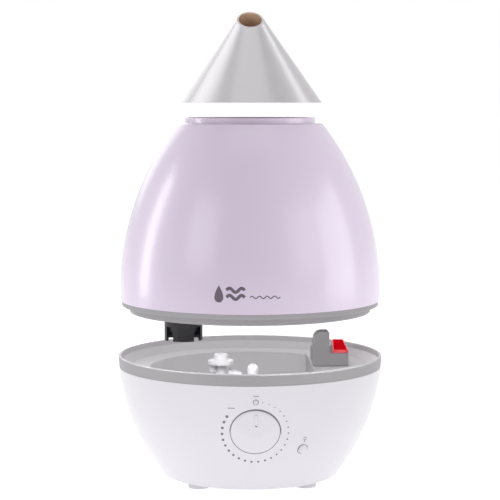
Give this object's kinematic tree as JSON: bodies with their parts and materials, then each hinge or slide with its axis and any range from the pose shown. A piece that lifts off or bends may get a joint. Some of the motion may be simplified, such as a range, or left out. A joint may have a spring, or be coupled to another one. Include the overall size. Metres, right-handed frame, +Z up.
{
  "type": "humidifier",
  "caption": "Cool mist humidifier opened for filling: bowl base with dial and button, domed water tank lifted off it, and a turning nozzle cone.",
  "frame": {"origin": "centre of the base on the surface that the feet stand on", "axes": "+Z up, the dial faces -Y, +X is to the right seen from the front"},
  "size_m": [0.225, 0.225, 0.3971],
  "materials": {
    "white_shell": "glossy white",
    "grey_plastic": "satin grey",
    "red_lens": "translucent red plastic",
    "foot_rubber": "pale grey rubber",
    "screw_steel": "zinc plated",
    "disc_steel": "polished",
    "seal_rubber": "black rubber",
    "bare_aluminium": "bare",
    "board_green": "solder mask",
    "transformer_iron": "varnished",
    "black_plastic": "satin black",
    "white_parts": "satin white",
    "float_foam": "foam",
    "magnet_iron": "coated ferrite",
    "reed_glass": "clear",
    "light_guide": "translucent white",
    "indicator_clear": "clear",
    "knob_white": "satin white",
    "lilac_tank": "translucent lilac",
    "spring_steel": "bright wire",
    "pearl_cone": "pearl white"
  },
  "bodies": {
    "base": {"base_shell": "white_shell", "basin": "grey_plastic", "duct_tower": "grey_plastic", "light_lens": "red_lens", "bottom_plate": "white_shell", "feet": "foot_rubber", "bottom_screws": "screw_steel", "transducer_disc": "disc_steel", "transducer_seal": "seal_rubber", "transducer_housing": "bare_aluminium", "driver_board": "board_green", "heat_sink": "bare_aluminium", "transformer": "transformer_iron", "fan_housing": "black_plastic", "fan_screws": "screw_steel", "float_stem": "white_parts", "float_retainer": "white_parts", "reed_switch": "reed_glass", "sensor_arm": "white_parts", "light_post": "light_guide", "valve_post": "white_parts", "potentiometer": "bare_aluminium", "indicator_lens": "indicator_clear", "cable_gland": "black_plastic", "button_switch": "black_plastic"},
    "fan": {"fan_rotor": "black_plastic"},
    "float": {"level_float": "float_foam", "float_magnet": "magnet_iron"},
    "dial": {"dial_knob": "knob_white", "dial_shaft": "disc_steel"},
    "button": {"light_button": "knob_white"},
    "tank": {"tank_shell": "lilac_tank", "tank_base": "grey_plastic", "tank_seal": "seal_rubber", "chimney_tube": "grey_plastic"},
    "gasket": {"cap_gasket": "seal_rubber"},
    "cap": {"tank_cap": "black_plastic", "valve_spring": "spring_steel"},
    "valve": {"valve_plunger": "white_parts", "valve_seal": "seal_rubber"},
    "splash": {"splash_ring": "white_parts"},
    "nozzle": {"cone_shell": "pearl_cone"}
  },
  "joints": [
    {"name": "tank_lift", "type": "slide", "parent": "base", "child": "tank", "axis": [0, 0, 1], "range_m": [-0.047, 0]},
    {"name": "cone_lift", "type": "slide", "parent": "tank", "child": "splash", "axis": [0, 0, 1], "range_m": [-0.0173, 0]},
    {"name": "cone_turn", "type": "hinge", "parent": "splash", "child": "nozzle", "pos_m": [0, 0, 0.3204], "axis": [0, 0, 1], "continuous": true},
    {"name": "dial_turn", "type": "hinge", "parent": "base", "child": "dial", "pos_m": [0, -0.10352, 0.0575], "axis": [0, 0.9444, 0.3289], "range_deg": [0, 301.6]},
    {"name": "button_press", "type": "slide", "parent": "base", "child": "button", "axis": [-0.135, 0.9609, 0.2419], "range_m": [0, 0.0015], "stiffness_N_per_m": 400, "springref_m": -0.001},
    {"name": "float_rise", "type": "slide", "parent": "base", "child": "float", "axis": [0, 0, 1], "range_m": [0, 0.0085]},
    {"name": "fan_spin", "type": "hinge", "parent": "base", "child": "fan", "pos_m": [0.0755, 0.0145, 0.083], "axis": [0, 0, 1], "continuous": true},
    {"name": "cap_unscrew", "type": "slide", "parent": "tank", "child": "gasket", "axis": [0, 0, -1], "range_m": [0, 0.008]},
    {"name": "cap_turn", "type": "hinge", "parent": "gasket", "child": "cap", "pos_m": [-0.057, 0, 0.129], "axis": [0, 0, -1], "range_deg": [0, 721]},
    {"name": "valve_open", "type": "slide", "parent": "cap", "child": "valve", "axis": [0, 0, 1], "range_m": [0, 0.0035], "stiffness_N_per_m": 200, "springref_m": -0.003, "deforming": ["valve_spring"]}
  ],
  "couplings": [
    {"joint": "cap_turn", "follows": "cap_unscrew", "rad_per_m": 1570.8}
  ]
}
